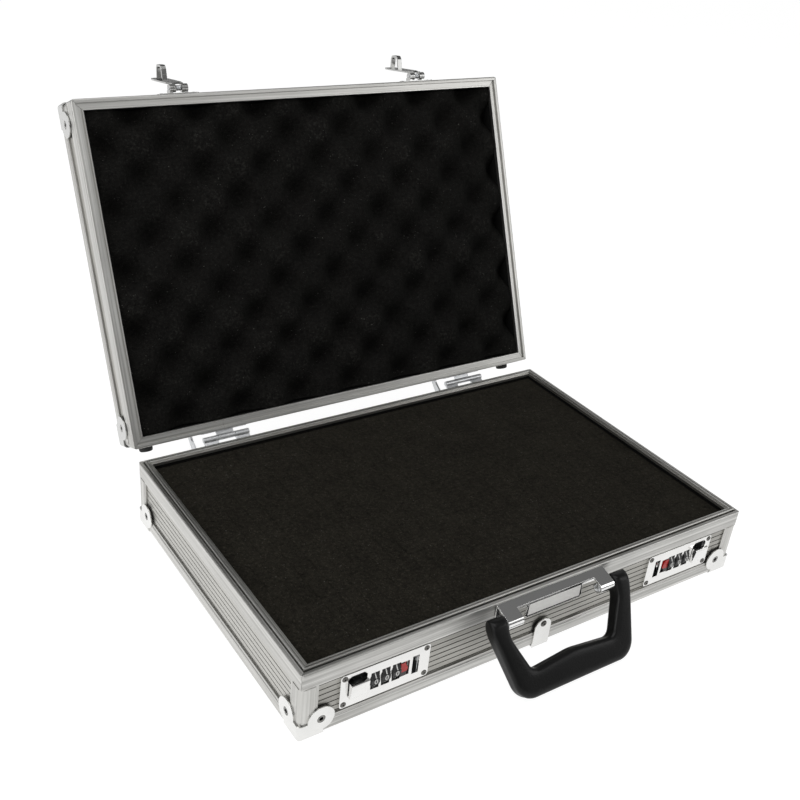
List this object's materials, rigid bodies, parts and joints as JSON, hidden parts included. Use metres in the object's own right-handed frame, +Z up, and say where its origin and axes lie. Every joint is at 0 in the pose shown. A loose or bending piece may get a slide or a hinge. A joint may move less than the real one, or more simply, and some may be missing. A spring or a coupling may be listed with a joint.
{
  "type": "laptop hard case",
  "caption": "Open aluminium-framed hard case with foam lining, hinged lid, flip-up hasps, combination slide locks and a folding carry handle.",
  "frame": {"origin": "middle of the base footprint, on the ground", "axes": "+X to the right seen from the handle side, +Y to the hinge side, +Z up"},
  "size_m": [0.427, 0.5047, 0.3438],
  "materials": {
    "aluminium": "satin extruded",
    "panel": "satin, grooved sheet",
    "chrome": "bright plated",
    "steel": "plated",
    "black_plastic": "fine grained",
    "wheel_black": "semi matte",
    "lever_red": "glossy",
    "rubber": "matte",
    "foam": "open cell foam, soft"
  },
  "bodies": {
    "base": {"base_rim": "aluminium", "base_bottom_edges": "aluminium", "base_corner_posts": "aluminium", "base_corner_caps": "chrome", "base_cap_rivets": "steel", "base_front_panel": "panel", "base_rear_panel": "panel", "base_side_panels": "panel", "base_bottom_panel": "panel", "base_lining": "foam", "base_foam": "foam", "base_rear_feet": "rubber", "bottom_clip": "chrome", "handle_bracket": "chrome", "front_rivets": "steel", "handle_rod": "steel", "lock_plate_left": "chrome", "lock_plate_right": "chrome", "lock_body_left": "steel", "lock_body_right": "steel", "lock_spindles": "steel", "lock_spring_left": "steel", "lock_spring_right": "steel", "lock_rivets": "steel", "hinge_base_leaves": "steel", "hinge_pins": "steel", "hinge_base_rivets": "steel"},
    "lid": {"lid_rim": "aluminium", "lid_top_edges": "aluminium", "lid_corner_posts": "aluminium", "lid_corner_caps": "chrome", "lid_cap_rivets": "steel", "lid_top_panel": "panel", "lid_wall_panels": "panel", "lid_lining": "foam", "lid_foam": "foam", "lid_rear_feet": "rubber", "hinge_lid_leaves": "steel", "hinge_lid_rivets": "steel", "hasp_plates": "chrome", "hasp_rivets": "chrome", "hasp_pins": "chrome", "hasp_spring_left": "chrome", "hasp_spring_right": "chrome"},
    "handle": {"handle": "black_plastic"},
    "hasp_left": {"hasp_left": "chrome"},
    "hasp_right": {"hasp_right": "chrome"},
    "slider_left": {"lock_slider_left": "chrome"},
    "slider_right": {"lock_slider_right": "chrome"},
    "wheel_left_1": {"number_wheel_left_1": "wheel_black"},
    "wheel_left_2": {"number_wheel_left_2": "wheel_black"},
    "wheel_left_3": {"number_wheel_left_3": "wheel_black"},
    "lever_left": {"code_lever_left": "lever_red"},
    "wheel_right_1": {"number_wheel_right_1": "wheel_black"},
    "wheel_right_2": {"number_wheel_right_2": "wheel_black"},
    "wheel_right_3": {"number_wheel_right_3": "wheel_black"},
    "lever_right": {"code_lever_right": "lever_red"}
  },
  "joints": [
    {"name": "lid_hinge", "type": "hinge", "parent": "base", "child": "lid", "pos_m": [0, 0.1485, 0.0615], "axis": [-1, 0, 0], "range_deg": [-113, 0]},
    {"name": "handle_pivot", "type": "hinge", "parent": "base", "child": "handle", "pos_m": [0, -0.155, 0.0506], "axis": [-1, 0, 0], "range_deg": [0, 145]},
    {"name": "hasp_left_pivot", "type": "hinge", "parent": "lid", "child": "hasp_left", "pos_m": [-0.12, 0.26784, 0.33241], "axis": [-1, 0, 0], "range_deg": [-165, 0], "stiffness_Nm_per_rad": 0.002, "springref_deg": 34.38},
    {"name": "hasp_right_pivot", "type": "hinge", "parent": "lid", "child": "hasp_right", "pos_m": [0.12, 0.26784, 0.33241], "axis": [-1, 0, 0], "range_deg": [-165, 0], "stiffness_Nm_per_rad": 0.002, "springref_deg": 34.38},
    {"name": "slider_left_slide", "type": "slide", "parent": "base", "child": "slider_left", "axis": [-1, 0, 0], "range_m": [0, 0.004], "stiffness_N_per_m": 300, "springref_m": -0.002, "deforming": ["lock_spring_left"]},
    {"name": "wheel_left_1_turn", "type": "hinge", "parent": "base", "child": "wheel_left_1", "pos_m": [-0.1538, -0.1365, 0.0314], "axis": [1, 0, 0], "continuous": true},
    {"name": "wheel_left_2_turn", "type": "hinge", "parent": "base", "child": "wheel_left_2", "pos_m": [-0.145, -0.1365, 0.0314], "axis": [1, 0, 0], "continuous": true},
    {"name": "wheel_left_3_turn", "type": "hinge", "parent": "base", "child": "wheel_left_3", "pos_m": [-0.1362, -0.1365, 0.0314], "axis": [1, 0, 0], "continuous": true},
    {"name": "lever_left_slide", "type": "slide", "parent": "base", "child": "lever_left", "axis": [1, 0, 0], "range_m": [0, 0.0012]},
    {"name": "slider_right_slide", "type": "slide", "parent": "base", "child": "slider_right", "axis": [1, 0, 0], "range_m": [0, 0.004], "stiffness_N_per_m": 300, "springref_m": -0.002, "deforming": ["lock_spring_right"]},
    {"name": "wheel_right_1_turn", "type": "hinge", "parent": "base", "child": "wheel_right_1", "pos_m": [0.1538, -0.1365, 0.0314], "axis": [1, 0, 0], "continuous": true},
    {"name": "wheel_right_2_turn", "type": "hinge", "parent": "base", "child": "wheel_right_2", "pos_m": [0.145, -0.1365, 0.0314], "axis": [1, 0, 0], "continuous": true},
    {"name": "wheel_right_3_turn", "type": "hinge", "parent": "base", "child": "wheel_right_3", "pos_m": [0.1362, -0.1365, 0.0314], "axis": [1, 0, 0], "continuous": true},
    {"name": "lever_right_slide", "type": "slide", "parent": "base", "child": "lever_right", "axis": [-1, 0, 0], "range_m": [0, 0.0012]}
  ]
}
